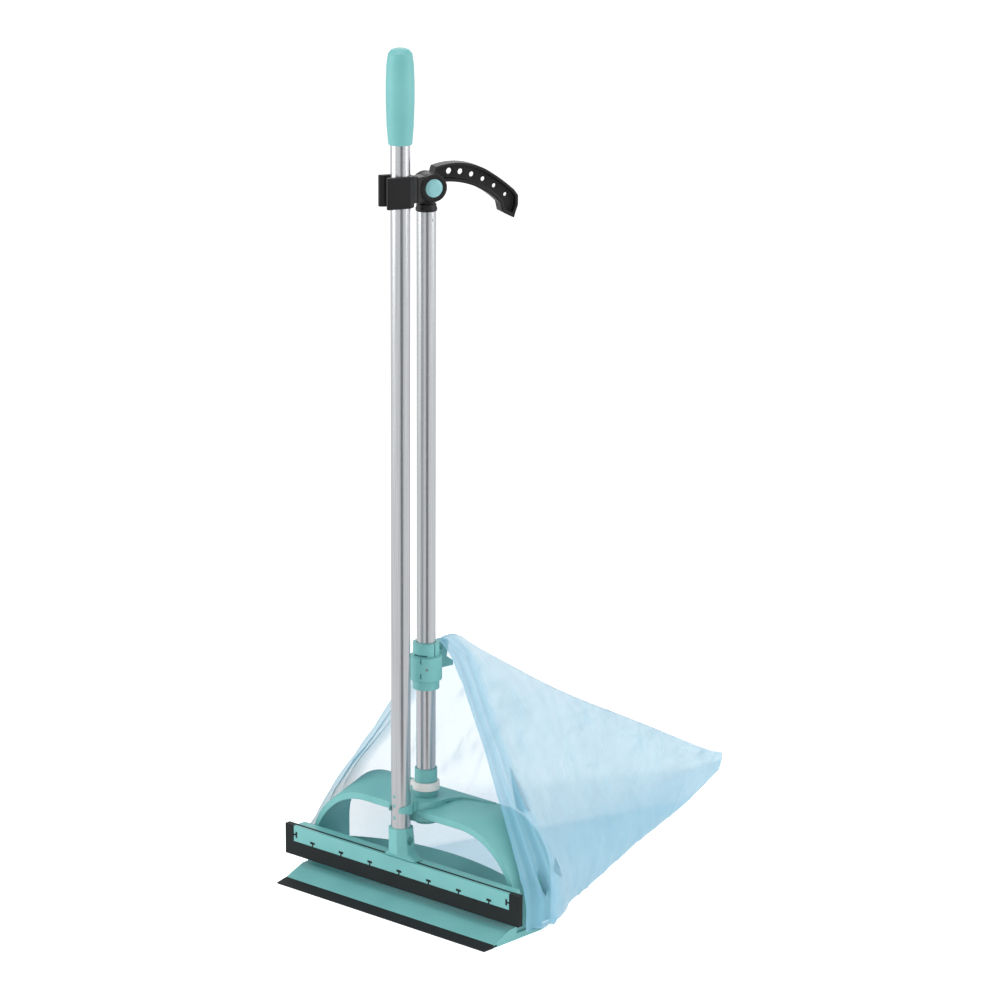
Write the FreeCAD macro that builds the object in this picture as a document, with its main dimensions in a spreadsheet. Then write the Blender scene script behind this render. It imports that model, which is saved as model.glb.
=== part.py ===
import FreeCAD, Part
import math
import os
import re

import Sketcher

# Upright scoop with a rubbish bag, and a squeegee sweeper clipped in front of it.
# Frame: origin on the floor below the scoop's tube, -Y to the scoop's lip, +Z up, millimetres.

doc = FreeCAD.newDocument("sweeping_set")
sheet = doc.addObject("Spreadsheet::Sheet", "Dims")

SIZES = (
    # tubes and the space between them
    ("tube_dia", 24), ("tube_wall", 1.2), ("tube_gap", 45.7),
    ("scoop_tube_top", 876), ("sweeper_tube_low", 108), ("sweeper_tube_top", 1066),
    # fits
    ("fit_gap", 0.1), ("slide_gap", 0.35), ("seat_gap", 0.05),
    # pan: a ramp from the lip up to the sill over which the dirt drops into the bag
    ("pan_width", 353), ("pan_front", 70), ("pan_nose", 4.5), ("step_front", 40),
    ("step_height", 16), ("step_back", 32), ("sill_back", 48), ("sill_height", 48),
    ("sill_bulge", 28), ("pan_skin", 4), ("rib_thick", 4), ("foot_pad", 44),
    ("lip_reach", 87), ("lip_thick", 4.5), ("lip_tongue", 6), ("lip_edge", 1.2),
    # arch over the pan
    ("arch_front", 27), ("arch_back", 38), ("arch_half", 174), ("arch_top_front", 127),
    ("arch_top_back", 137), ("arch_bend_front", 95), ("arch_bend_back", 75),
    ("arch_leg", 5), ("arch_bead", 9), ("arch_skin", 3.5), ("leg_seat", 8),
    ("boss_radius", 29), ("boss_low", 112), ("flare_half", 84), ("flare_depth", 7),
    ("deck_rise", 0.8),
    # socket and its lock ring
    ("socket_low", 104), ("socket_wall", 2), ("socket_top", 174), ("socket_ledge", 2.5),
    ("ring_low", 147), ("ring_height", 10), ("ring_radius", 17), ("ring_tab", 5),
    ("screw_radius", 2), ("screw_height", 124),
    # clips
    ("clip_wall", 3), ("jaw_open", 0.69), ("low_clip_height", 13), ("low_clip_low", 126),
    ("top_clip_low", 886.5), ("top_clip_high", 925), ("jaw_reach", 22.6), ("clip_back", 2.4),
    ("clip_base_half", 8),
    # head, hub and hook handle: the head stands turned about its tube
    ("head_turn", 24), ("plug_length", 30), ("cap_radius", 13.2), ("cap_step", 4.5),
    ("neck_radius", 10.5), ("hub_back", 3.5), ("hub_height", 905.5), ("hub_radius", 17),
    ("hub_half", 15.7), ("cheek", 5.5), ("pad_reach", 23.5),
    ("pin_radius", 4), ("rivet_drop", 10), ("rivet_radius", 1.8),
    ("button_radius", 11), ("button_dome", 2.2), ("button_travel", 3),
    ("arm_half", 9), ("arm_web", 5), ("arm_flange", 4), ("arm_depth", 26),
    ("arm_reach", 113), ("arm_rise", 28), ("arm_drop", 45), ("hole_radius", 3.8),
    # bag holder
    ("collar_low", 278), ("collar_body_low", 290), ("collar_body_high", 320),
    ("collar_high", 337), ("collar_radius", 19.8), ("collar_sleeve", 16.5),
    ("lever_wall", 3), ("lever_sweep", 110),
    ("hook_reach", 40), ("hook_half", 5),
    # sweeper
    ("grip_low", 962), ("grip_top", 1077), ("grip_wall", 2.5), ("grip_swell", 2.7),
    ("blade_half", 198), ("blade_low", 26.5), ("blade_front", 49.4), ("blade_thick", 4),
    ("rubber_height", 19), ("side_rubber", 15), ("head_top", 66.5), ("bar_thick", 12),
    ("plate_thick", 4), ("nub_pitch", 50), ("nub_height", 6),
    ("nub_neck", 2.2), ("nub_width", 8), ("neck_top_radius", 15), ("neck_waist", 16.5),
    ("neck_foot", 27), ("neck_foot_height", 9), ("spigot_length", 46),
    # bag
    ("film", 0.6), ("bag_tail_back", 590), ("bag_tail_height", 44), ("bag_half", 184),
)

for row, (name, size) in enumerate(SIZES, start=1):
    sheet.set(f"A{row}", name)
    sheet.set(f"B{row}", str(size))
    sheet.setAlias(f"B{row}", name)
doc.recompute()
ALIASES = {name for name, size in SIZES}


def link(text):
    """An expression with each size's alias pointing at its cell in the sheet."""
    def cell(match):
        word = match.group()
        return f"Dims.{word}" if word in ALIASES else word
    return re.sub(r"[a-z_]+", cell, str(text))


def number(text):
    """The present value of an expression, in millimetres or degrees."""
    value = sheet.evalExpression(link(text))
    return float(getattr(value, "Value", value))


def bind(thing, **sizes):
    """Tie properties of a document object to expressions."""
    for prop, text in sizes.items():
        thing.setExpression(prop, link(text))
    return thing


AXES = {"X": (0, 1, 0, 90), "Y": (1, 0, 0, -90), "Z": (0, 0, 1, 0)}


def place(thing, spot, axis="Z"):
    """Put an object at (x, y, z) expressions with its own Z along an axis."""
    x, y, z, turn = AXES[axis]
    thing.Placement = FreeCAD.Placement(
        FreeCAD.Vector(), FreeCAD.Rotation(FreeCAD.Vector(x, y, z), turn))
    for letter, text in zip("xyz", spot):
        thing.setExpression(f"Placement.Base.{letter}", link(text))
    return thing


def cylinder(radius, height, spot, axis="Z"):
    return place(bind(doc.addObject("Part::Cylinder", "cylinder"), Radius=radius, Height=height),
                 spot, axis)


def cone(low_radius, high_radius, height, spot, axis="Z"):
    solid = doc.addObject("Part::Cone", "cone")
    return place(bind(solid, Radius1=low_radius, Radius2=high_radius, Height=height), spot, axis)


def box(length, width, height, spot):
    """A box centred on its spot in X, with its low Y and low Z at the spot."""
    solid = bind(doc.addObject("Part::Box", "box"), Length=length, Width=width, Height=height)
    return place(solid, (f"{spot[0]} - ({length}) / 2", spot[1], spot[2]))


def fuse(*shapes):
    joined = doc.addObject("Part::MultiFuse", "fuse")
    joined.Shapes = list(shapes)
    joined.Refine = True
    return joined


def join(first, second):
    """Two solids made one, step by step, where a single joint of many would fail."""
    both = doc.addObject("Part::Fuse", "join")
    both.Base = first
    both.Tool = second
    both.Refine = True
    return both


def cut(base, *tools):
    less = doc.addObject("Part::Cut", "cut")
    less.Base = base
    less.Tool = tools[0] if len(tools) == 1 else fuse(*tools)
    less.Refine = True
    return less


def common(*shapes):
    shared = doc.addObject("Part::MultiCommon", "common")
    shared.Shapes = list(shapes)
    return shared


def outline(sketch, corners):
    """A closed outline through (x, y) expressions, with each corner tied to them."""
    spots = [FreeCAD.Vector(number(c[0]), number(c[1]), 0) for c in corners]
    count = len(spots)
    lines = [
        sketch.addGeometry(Part.LineSegment(spots[k], spots[(k + 1) % count]), False)
        for k in range(count)
    ]
    for k, (line, corner) in enumerate(zip(lines, corners)):
        sketch.addConstraint(Sketcher.Constraint("Coincident", lines[k - 1], 2, line, 1))
        for kind, text in zip(("DistanceX", "DistanceY"), corner):
            value = number(text)
            index = sketch.addConstraint(Sketcher.Constraint(kind, line, 1, value))
            sketch.setExpression(f"Constraints[{index}]", link(text))


def body(label):
    part = doc.addObject("PartDesign::Body", label)
    part.Label = label
    return part


ROLES = {"XY": "XY_Plane", "XZ": "XZ_Plane", "YZ": "YZ_Plane"}


def sketch_on(part, plane, offset="0"):
    """A sketch on one of the body's origin planes, moved along that plane's normal."""
    sketch = part.newObject("Sketcher::SketchObject", "profile")
    origin = [f for f in part.Origin.OriginFeatures if f.Role == ROLES[plane]][0]
    sketch.AttachmentSupport = [(origin, "")]
    sketch.MapMode = "FlatFace"
    sketch.setExpression("AttachmentOffset.Base.z", link(offset))
    return sketch


def pad(part, plane, corners, length, offset="0", middle=False):
    sketch = sketch_on(part, plane, offset)
    outline(sketch, corners)
    feature = part.newObject("PartDesign::Pad", "pad")
    feature.Profile = sketch
    feature.Midplane = middle
    return bind(feature, Length=length)


def revolve(part, corners):
    """A turned solid about the body's own Z axis from (radius, height) corners."""
    sketch = sketch_on(part, "XZ")
    outline(sketch, corners)
    feature = part.newObject("PartDesign::Revolution", "revolution")
    feature.Profile = sketch
    feature.ReferenceAxis = (sketch, ["V_Axis"])
    return bind(feature, Angle="360")


def arch_section(half, low, top, bend, depth):
    """A sketch across X at Y = depth: two legs, two round shoulders and a flat top."""
    sketch = doc.addObject("Sketcher::SketchObject", "arch_section")
    sketch.Placement = FreeCAD.Placement(
        FreeCAD.Vector(), FreeCAD.Rotation(FreeCAD.Vector(1, 0, 0), 90))
    sketch.setExpression("Placement.Base.y", link(depth))
    side, floor, roof, radius = number(half), number(low), number(top), number(bend)
    flat, spring = side - radius, roof - radius
    point = FreeCAD.Vector
    quarter = math.pi / 2
    up = point(0, 0, 1)
    lines = (
        Part.LineSegment(point(-side, floor), point(side, floor)),
        Part.LineSegment(point(side, floor), point(side, spring)),
        Part.ArcOfCircle(Part.Circle(point(flat, spring), up, radius), 0, quarter),
        Part.LineSegment(point(flat, roof), point(-flat, roof)),
        Part.ArcOfCircle(Part.Circle(point(-flat, spring), up, radius), quarter, 2 * quarter),
        Part.LineSegment(point(-side, spring), point(-side, floor)),
    )
    for line in lines:
        sketch.addGeometry(line, False)
    for first, second in ((0, 1), (5, 0)):
        sketch.addConstraint(Sketcher.Constraint("Coincident", first, 2, second, 1))
    for first, second in ((1, 2), (2, 3), (3, 4), (4, 5)):
        sketch.addConstraint(Sketcher.Constraint("Tangent", first, 2, second, 1))
    for kind, line, spot, text in (
            ("DistanceX", 0, 1, f"-({half})"), ("DistanceX", 0, 2, half),
            ("DistanceY", 0, 1, low), ("DistanceY", 0, 2, low), ("DistanceY", 3, 1, top)):
        index = sketch.addConstraint(Sketcher.Constraint(kind, line, spot, number(text)))
        sketch.setExpression(f"Constraints[{index}]", link(text))
    for line in (2, 4):
        index = sketch.addConstraint(Sketcher.Constraint("Radius", line, radius))
        sketch.setExpression(f"Constraints[{index}]", link(bend))
    sketch.addConstraint(Sketcher.Constraint("Vertical", 1))
    sketch.addConstraint(Sketcher.Constraint("Vertical", 5))
    sketch.addConstraint(Sketcher.Constraint("Horizontal", 3))
    return sketch


def tunnel(*sections):
    """A straight-sided solid through arch sections."""
    solid = doc.addObject("Part::Loft", "tunnel")
    solid.Sections = list(sections)
    solid.Solid = True
    solid.Ruled = True
    return solid


NODES = []


def keep(thing, label):
    """Name a finished sub-part."""
    thing.Label = label
    NODES.append(thing)
    return thing


def screw(head_radius, head_height, shank_radius, length, spot, axis="Z", turn=1):
    """A screw whose shank runs from its head's seat along an axis, or against it for turn -1."""
    along = {"X": 0, "Y": 1, "Z": 2}[axis]

    def span(radius, start, size):
        at = list(spot)
        low = start if turn > 0 else f"-({start}) - ({size})"
        at[along] = f"{spot[along]} + {low}"
        return cylinder(radius, size, at, axis)

    return fuse(span(head_radius, "0", head_height), span(shank_radius, head_height, length))


# ---------------------------------------------------------------- pan and its rubber lip
SILL_CIRCLE = "((pan_width / 2)^2 + sill_bulge^2) / (2 * sill_bulge)"
RAMP = "(sill_height - step_height) / (sill_back + step_back)"

pan_block = body("pan_block")
pad(pan_block, "YZ", (
    ("-pan_front", "0"),
    ("-pan_front", "lip_edge - seat_gap"),
    ("-pan_front + lip_tongue + seat_gap", "lip_edge - seat_gap"),
    ("-pan_front + lip_tongue + seat_gap", "lip_thick - lip_edge + seat_gap"),
    ("-pan_front", "lip_thick - lip_edge + seat_gap"),
    ("-pan_front", "pan_nose"),
    ("-step_front", "step_height"),
    ("-step_back", "step_height"),
    ("sill_back", "sill_height"),
    ("sill_back", "0"),
), "pan_width", middle=True)

pan_hollow = body("pan_hollow")
pad(pan_hollow, "YZ", (
    ("-step_front + pan_skin", "-1"),
    ("-step_front + pan_skin", "step_height - pan_skin"),
    ("-step_back", "step_height - pan_skin"),
    ("sill_back", f"step_height - pan_skin + {RAMP} * (sill_back + step_back)"),
    ("sill_back", "-1"),
), "pan_width - 4 * pan_skin - 2 * arch_leg", middle=True)

round_back = cylinder(SILL_CIRCLE, "sill_height + 2", ("0", f"sill_back - {SILL_CIRCLE}", "-1"))
inner_back = cylinder(f"{SILL_CIRCLE} - pan_skin", "sill_height + 2",
                      ("0", f"sill_back - {SILL_CIRCLE}", "-2"))
ribs = [
    box("rib_thick", "step_front + sill_back", "sill_height", (f"pan_width * {k} / 6", "-step_front", "0"))
    for k in (-2, -1, 1, 2)
]
foot_block = box("foot_pad", "step_front + sill_back", "sill_height", ("0", "-step_front", "0"))
leg_notches = [
    box("2 * arch_leg + 2 * slide_gap", "arch_front + arch_back + 2 * fit_gap", "sill_height",
        (f"{side} * (arch_half + slide_gap)", "-arch_front - fit_gap", "leg_seat - seat_gap"))
    for side in (-1, 1)
]
LEG_SCREWS = [
    (f"{side} * (arch_half - arch_leg / 2)", depth)
    for side in (-1, 1) for depth in ("-arch_front + 12", "-arch_front + 36")
]
SCREW_SEAT = 3.5
leg_holes = []
for across, depth in LEG_SCREWS:
    leg_holes.append(cylinder("1.6", "leg_seat + 2", (across, depth, "-1")))
    leg_holes.append(cylinder("3.3", f"{SCREW_SEAT} + 1", (across, depth, "-1")))
pan_round = common(pan_block, round_back)
pan_pockets = cut(common(pan_hollow, inner_back), *ribs, foot_block)
keep(cut(pan_round, pan_pockets, *leg_notches, *leg_holes), "scoop_pan")

lip = body("lip_rubber")
pad(lip, "YZ", (
    ("-lip_reach", "0"),
    ("-lip_reach", "lip_edge"),
    ("-pan_front - seat_gap", "lip_thick"),
    ("-pan_front - seat_gap", "lip_thick - lip_edge"),
    ("-pan_front + lip_tongue", "lip_thick - lip_edge"),
    ("-pan_front + lip_tongue", "lip_edge"),
    ("-pan_front - seat_gap", "lip_edge"),
    ("-pan_front - seat_gap", "0"),
), "pan_width", middle=True)
keep(lip, "lip_rubber")

# ---------------------------------------------------------------- arch, its boss and its screws
arch_outside = tunnel(
    arch_section("arch_half", "leg_seat", "arch_top_front", "arch_bend_front", "-arch_front"),
    arch_section("arch_half", "leg_seat", "arch_top_back", "arch_bend_back", "arch_back"))
arch_inside = tunnel(
    arch_section("arch_half - arch_leg", "leg_seat - 2", "arch_top_front - arch_bead",
                 "arch_bend_front - arch_leg", "-arch_front - 1"),
    arch_section("arch_half - arch_leg", "leg_seat - 2", "arch_top_back - arch_skin",
                 "arch_bend_back - arch_skin", "arch_back + 1"))
boss = cylinder("boss_radius", "arch_top_back + deck_rise - boss_low", ("0", "0", "boss_low"))
flare = body("flare")
FLARE_EDGE = (
    (1, "arch_back - 1"), (1, "arch_back - flare_depth + 4"), (0.75, "arch_back - flare_depth"),
    (0.57, "arch_back - flare_depth - 3"), (0.45, "arch_back - flare_depth - 8"),
    (0.38, "boss_radius / 2"), (0.34, "boss_radius / 9"),
)
pad(flare, "XY", [(f"-flare_half * {share}", depth) for share, depth in FLARE_EDGE]
    + [(f"flare_half * {share}", depth) for share, depth in reversed(FLARE_EDGE)],
    "arch_skin + deck_rise", offset="arch_top_back - arch_skin")
SOCKET = "tube_dia / 2 + socket_wall"
socket_bore = cylinder(f"({SOCKET}) + fit_gap", "arch_top_back", ("0", "0", "socket_low"))
socket_screw_hole = cylinder("screw_radius + fit_gap", "boss_radius + 5",
                             ("0", "boss_radius + 5", "screw_height"), "Y")
socket_screw_hole.Placement.Rotation = FreeCAD.Rotation(FreeCAD.Vector(1, 0, 0), 90)
clip_screw_hole = cylinder("1.5", "12", ("0", "-boss_radius - 1", "low_clip_low + low_clip_height / 2"), "Y")
leg_bores = [cylinder("1.5", "18", (across, depth, "leg_seat - 1")) for across, depth in LEG_SCREWS]
arch_shell = cut(arch_outside, arch_inside)
keep(cut(join(join(arch_shell, boss), flare), socket_bore, socket_screw_hole, clip_screw_hole, *leg_bores),
     "arch_hood")
keep(fuse(*[
    screw("3", "1.8", "1.4", f"leg_seat + 12 - {SCREW_SEAT}",
          (across, depth, f"{SCREW_SEAT} - 1.8"))
    for across, depth in LEG_SCREWS]), "leg_screws")

# ---------------------------------------------------------------- scoop tube, socket and lock ring
socket_tube = cylinder(SOCKET, "socket_top - socket_low", ("0", "0", "socket_low"))
socket_hole = cylinder("tube_dia / 2 + fit_gap", "socket_top", ("0", "0", "socket_low + socket_ledge"))
socket_drain = cylinder("tube_dia / 2 - 3", "socket_top", ("0", "0", "socket_low - 1"))
keep(cut(socket_tube, socket_hole, socket_drain, socket_screw_hole), "tube_socket")

ring_disc = cylinder("ring_radius", "ring_height", ("0", "0", "ring_low"))
ring_grip = box("ring_tab", "ring_radius", "ring_height - 3",
                ("1 - ring_radius", "-ring_radius / 2", "ring_low + 1.5"))
ring_hole = cylinder(f"({SOCKET}) + seat_gap", "ring_height + 2", ("0", "0", "ring_low - 1"))
keep(cut(fuse(ring_disc, ring_grip), ring_hole), "lock_ring")

SCOOP_TUBE_LOW = "socket_low + socket_ledge + seat_gap"
tube_outside = cylinder("tube_dia / 2", f"scoop_tube_top - ({SCOOP_TUBE_LOW})", ("0", "0", SCOOP_TUBE_LOW))
tube_bore = cylinder("tube_dia / 2 - tube_wall", "scoop_tube_top", ("0", "0", "socket_low - 1"))
RIVET_Z = "scoop_tube_top - rivet_drop"
rivet_hole = cylinder("rivet_radius + fit_gap / 2", "3 * tube_dia", ("-1.5 * tube_dia", "0", RIVET_Z), "X")
keep(cut(tube_outside, tube_bore, socket_screw_hole, rivet_hole), "scoop_tube")

socket_screw = fuse(
    cylinder("screw_radius * 1.8", "2", ("0", "boss_radius", "screw_height"), "Y"),
    cylinder("screw_radius", "boss_radius - tube_dia / 2 + 3",
             ("0", "tube_dia / 2 - 3", "screw_height"), "Y"))
keep(socket_screw, "socket_screw")

# ---------------------------------------------------------------- clips for the sweeper's tube
CLIP_BORE = "tube_dia / 2 + fit_gap"
CLIP_RIM = f"{CLIP_BORE} + clip_wall"
CLIP_MOUTH = "tube_dia / 2 * jaw_open"

low_ring = cylinder(CLIP_RIM, "low_clip_height", ("0", "-tube_gap", "low_clip_low"))
low_base = box(f"2 * ({CLIP_MOUTH}) + 4", f"tube_gap - boss_radius / 2 - ({CLIP_BORE})", "low_clip_height",
               ("0", f"-tube_gap + {CLIP_BORE}", "low_clip_low"))
low_bore = cylinder(CLIP_BORE, "low_clip_height + 2", ("0", "-tube_gap", "low_clip_low - 1"))
low_mouth = box(f"2 * ({CLIP_MOUTH})", "tube_dia", "low_clip_height + 2",
                ("0", "-tube_gap - tube_dia", "low_clip_low - 1"))
boss_room = cylinder("boss_radius + seat_gap", "low_clip_height + 2", ("0", "0", "low_clip_low - 1"))
jaw_point = body("jaw_point")
pad(jaw_point, "YZ", (
    ("-tube_gap - tube_dia", "low_clip_low + low_clip_height / 2"),
    ("-tube_gap + tube_dia / 3", "low_clip_low - 1"),
    ("0", "low_clip_low - 1"),
    ("0", "low_clip_low + low_clip_height + 1"),
    ("-tube_gap + tube_dia / 3", "low_clip_low + low_clip_height + 1"),
), "4 * tube_dia", middle=True)
CLIP_SCREW_Z = "low_clip_low + low_clip_height / 2"
CLIP_SCREW_Y = f"-tube_gap + {CLIP_BORE} + 0.3"
clip_screw_bore = cylinder("1.5", "12", ("0", CLIP_SCREW_Y, CLIP_SCREW_Z), "Y")
clip_screw_seat = cylinder("3.1", "2.2", ("0", f"{CLIP_SCREW_Y} - 1", CLIP_SCREW_Z), "Y")
low_clip = cut(fuse(low_ring, low_base), low_bore, low_mouth, boss_room, clip_screw_bore, clip_screw_seat)
keep(common(low_clip, jaw_point), "lower_clip")
keep(screw("3", "1.2", "1.4", "7", ("0", CLIP_SCREW_Y, CLIP_SCREW_Z), "Y"), "lower_clip_screw")

def turned(thing, centre_y="0"):
    """Turn a finished group about an upright axis on X = 0 by the head's turn."""
    thing.Placement = FreeCAD.Placement(
        FreeCAD.Vector(), FreeCAD.Rotation(FreeCAD.Vector(0, 0, -1), 1))
    thing.setExpression("Placement.Rotation.Angle", link("head_turn"))
    thing.setExpression("Placement.Base.y", link(centre_y))
    return thing


TOP_CLIP_HEIGHT = "top_clip_high - top_clip_low"
JAW_BACK = f"{CLIP_BORE} + clip_back"
JAW_BEND = f"({JAW_BACK}) - clip_wall - 3.5"
top_block = body("top_block")
pad(top_block, "XY", (
    (f"-({CLIP_RIM})", "-jaw_reach"),
    (f"-({CLIP_RIM})", JAW_BEND),
    (f"-({JAW_BACK}) / 1.6", JAW_BACK),
    (f"({JAW_BACK}) / 1.6", JAW_BACK),
    (CLIP_RIM, JAW_BEND),
    (CLIP_RIM, "-jaw_reach"),
    (f"({CLIP_MOUTH}) + clip_wall", "-jaw_reach"),
    (CLIP_MOUTH, "-jaw_reach + 2 * clip_wall"),
    (CLIP_MOUTH, "0"),
    (f"-({CLIP_MOUTH})", "0"),
    (f"-({CLIP_MOUTH})", "-jaw_reach + 2 * clip_wall"),
    (f"-({CLIP_MOUTH}) - clip_wall", "-jaw_reach"),
), TOP_CLIP_HEIGHT, offset="top_clip_low")
top_bore = cylinder(CLIP_BORE, f"{TOP_CLIP_HEIGHT} + 2", ("0", "0", "top_clip_low - 1"))
top_grip = turned(cut(top_block, top_bore), "-tube_gap")
top_base = box("2 * clip_base_half", f"tube_gap - ({CLIP_BORE}) - 1 - pad_reach - seat_gap",
               f"{TOP_CLIP_HEIGHT} - 6", ("0", f"-tube_gap + {CLIP_BORE} + 1", "top_clip_low + 3"))
TOP_SCREWS = [f"hub_height + {step}" for step in (-9, 9)]
top_screw_bores = [cylinder("1.6", "14", ("0", CLIP_SCREW_Y, height), "Y") for height in TOP_SCREWS]
top_screw_seats = [
    cylinder("3.1", "2.2", ("0", f"{CLIP_SCREW_Y} - 1", height), "Y") for height in TOP_SCREWS
]
keep(cut(join(top_grip, top_base), *top_screw_bores, *top_screw_seats), "upper_clip")
keep(fuse(*[
    screw("3", "1.2", "1.5", "11", ("0", CLIP_SCREW_Y, height), "Y") for height in TOP_SCREWS]),
    "upper_clip_screws")

# ---------------------------------------------------------------- head on the scoop's tube
SLOT_HALF = "hub_half - cheek"
PLUG_LOW = "scoop_tube_top - plug_length"
plug = cylinder("tube_dia / 2 - tube_wall - fit_gap", "plug_length + 1", ("0", "0", PLUG_LOW))
cap = cylinder("cap_radius", "cap_step", ("0", "0", "scoop_tube_top + seat_gap"))
cap_upper = cylinder("cap_radius - 1", "cap_step + 1", ("0", "0", "scoop_tube_top + cap_step - 1"))
stem = cylinder("neck_radius", "hub_height - scoop_tube_top", ("0", "0", "scoop_tube_top + 1"))


def on_hub(radius, start, length):
    """A cylinder on the hub's axis, from a start along that axis."""
    return cylinder(radius, length, (start, "hub_back", "hub_height"), "X")


drum = on_hub("hub_radius", "-hub_half", "2 * hub_half")
slot = on_hub("hub_radius + slide_gap", f"-({SLOT_HALF})", f"2 * ({SLOT_HALF})")
arm_room = box(f"2 * ({SLOT_HALF})", "2 * hub_radius", "2 * hub_radius", ("0", "hub_back", "hub_height"))
pin_bore = on_hub("pin_radius + fit_gap / 2", "-hub_half - 1", "hub_half")
button_bore = on_hub("button_radius + fit_gap", "0", "hub_half")
head_core = turned(cut(fuse(plug, cap, cap_upper, stem, drum), slot, arm_room, pin_bore, button_bore))
PAD_LOW = "top_clip_low + 3"
face_pad = box("2 * clip_base_half", "pad_reach", f"{TOP_CLIP_HEIGHT} - 8", ("0", "-pad_reach", PAD_LOW))
hub_room = turned(fuse(
    on_hub("hub_radius - 1.5", "-2 * hub_half", "4 * hub_half"),
    on_hub("hub_radius + slide_gap", f"-({SLOT_HALF})", f"2 * ({SLOT_HALF})")))
keep(cut(join(head_core, cut(face_pad, hub_room)), rivet_hole, *top_screw_bores), "head")
rivet = cylinder("rivet_radius", "tube_dia + 1.2", ("-tube_dia / 2 - 0.6", "0", RIVET_Z), "X")
keep(rivet, "head_rivet")

GEAR_FACE = "hub_half - cheek - 1"
GEAR_THICK = "5"
PIN_END = f"{GEAR_FACE} - button_travel - 1.8"
pin_shank = on_hub("pin_radius", "-hub_half", f"hub_half + {PIN_END}")
pin_lead = cone("pin_radius", "pin_radius - 0.6", "0.8", (PIN_END, "hub_back", "hub_height"), "X")
keep(turned(fuse(pin_shank, pin_lead)), "pivot_pin")
gear_disc = on_hub("button_radius + 1.6", f"{GEAR_FACE} - {GEAR_THICK}", GEAR_THICK)
gear_bore = on_hub("pin_radius + fit_gap", f"{GEAR_FACE} - {GEAR_THICK} - 1", f"{GEAR_THICK} + 2")
keep(turned(cut(gear_disc, gear_bore)), "lock_gear")
button_disc = on_hub("button_radius", f"{GEAR_FACE} + seat_gap", f"hub_half - ({GEAR_FACE}) - seat_gap")
button_top = cone("button_radius", "button_radius - 4", "button_dome",
                  ("hub_half", "hub_back", "hub_height"), "X")
keep(turned(fuse(button_disc, button_top)), "release_button")

SPRING_START = f"{GEAR_FACE} - {GEAR_THICK} - 2 * button_travel"
SPRING_WIRE = 0.45
SPRING_TURNS = 2.5
SPRING_STEPS = 25
coil_radius = number("pin_radius") + 2.2
coil_length = number("2 * button_travel") - 2 * SPRING_WIRE - 0.3
coil_start = number(SPRING_START) + SPRING_WIRE + 0.15
coil_spots = [
    FreeCAD.Vector(
        coil_start + coil_length * k / SPRING_STEPS,
        number("hub_back") + coil_radius * math.cos(2 * math.pi * SPRING_TURNS * k / SPRING_STEPS),
        number("hub_height") + coil_radius * math.sin(2 * math.pi * SPRING_TURNS * k / SPRING_STEPS))
    for k in range(SPRING_STEPS + 1)
]
coil = Part.makeSphere(SPRING_WIRE, coil_spots[0])
for first, second in zip(coil_spots, coil_spots[1:]):
    run = Part.makeCylinder(SPRING_WIRE, first.distanceToPoint(second), first, second - first)
    coil = coil.fuse([run, Part.makeSphere(SPRING_WIRE, second)])
spring = doc.addObject("Part::Feature", "spring")
spring.Shape = coil
keep(turned(spring), "button_spring")

# ---------------------------------------------------------------- hook handle
handle_hub = on_hub("hub_radius - 0.3", f"-({SLOT_HALF}) + slide_gap", f"2 * ({SLOT_HALF}) - 2 * slide_gap")
handle_bore = on_hub("pin_radius + fit_gap", "-2 * hub_half", "4 * hub_half")
gear_pocket = on_hub("button_radius + 2", f"{SPRING_START} - 0.05", "hub_half")


def hook_outline(inset):
    """The hook's closed outline in the hub's own plane X = 0, drawn inwards by an inset."""
    reach, depth = number("arm_reach"), number("arm_depth")
    top = number("hub_height + arm_rise")
    tip = number("hub_height - arm_drop")
    hub_y, hub = number("hub_back"), number("hub_height")

    def spot(y, z):
        return FreeCAD.Vector(0, y, z)

    shoulder = spot(0.08 * reach, top - 0.15 * depth)
    crown = spot(0.42 * reach, top - 0.06 * depth)
    bend = spot(0.66 * reach, top - 0.42 * depth)
    slope = spot(0.8 * reach, top - 0.82 * depth)
    elbow = spot(0.99 * reach, top - 1.48 * depth)
    nose = spot(reach + 4, top - 1.75 * depth)
    nose_low = spot(reach + 4, top - 2.2 * depth)
    tip_out = spot(reach - 1.5, tip)
    tip_in = spot(reach - 17, tip + 8.5)
    throat = spot(reach - 19.5, tip + 19.5)
    belly = spot(0.6 * reach, top - 1.33 * depth)
    root = spot(0.19 * reach, top - 0.87 * depth)
    heel = spot(hub_y + 6, hub - 2)
    neck = spot(hub_y + 2, hub + 13)
    wire = Part.Wire([
        Part.Arc(shoulder, crown, bend).toShape(),
        Part.Arc(bend, slope, elbow).toShape(),
        Part.LineSegment(elbow, nose).toShape(),
        Part.LineSegment(nose, nose_low).toShape(),
        Part.LineSegment(nose_low, tip_out).toShape(),
        Part.LineSegment(tip_out, tip_in).toShape(),
        Part.LineSegment(tip_in, throat).toShape(),
        Part.Arc(throat, belly, root).toShape(),
        Part.LineSegment(root, heel).toShape(),
        Part.LineSegment(heel, neck).toShape(),
        Part.LineSegment(neck, shoulder).toShape(),
    ])
    return wire if not inset else wire.makeOffset2D(-inset)


def hook_slab(inset, half):
    face = Part.Face(hook_outline(inset))
    face.translate(FreeCAD.Vector(-half, 0, 0))
    return face.extrude(FreeCAD.Vector(2 * half, 0, 0))


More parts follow.
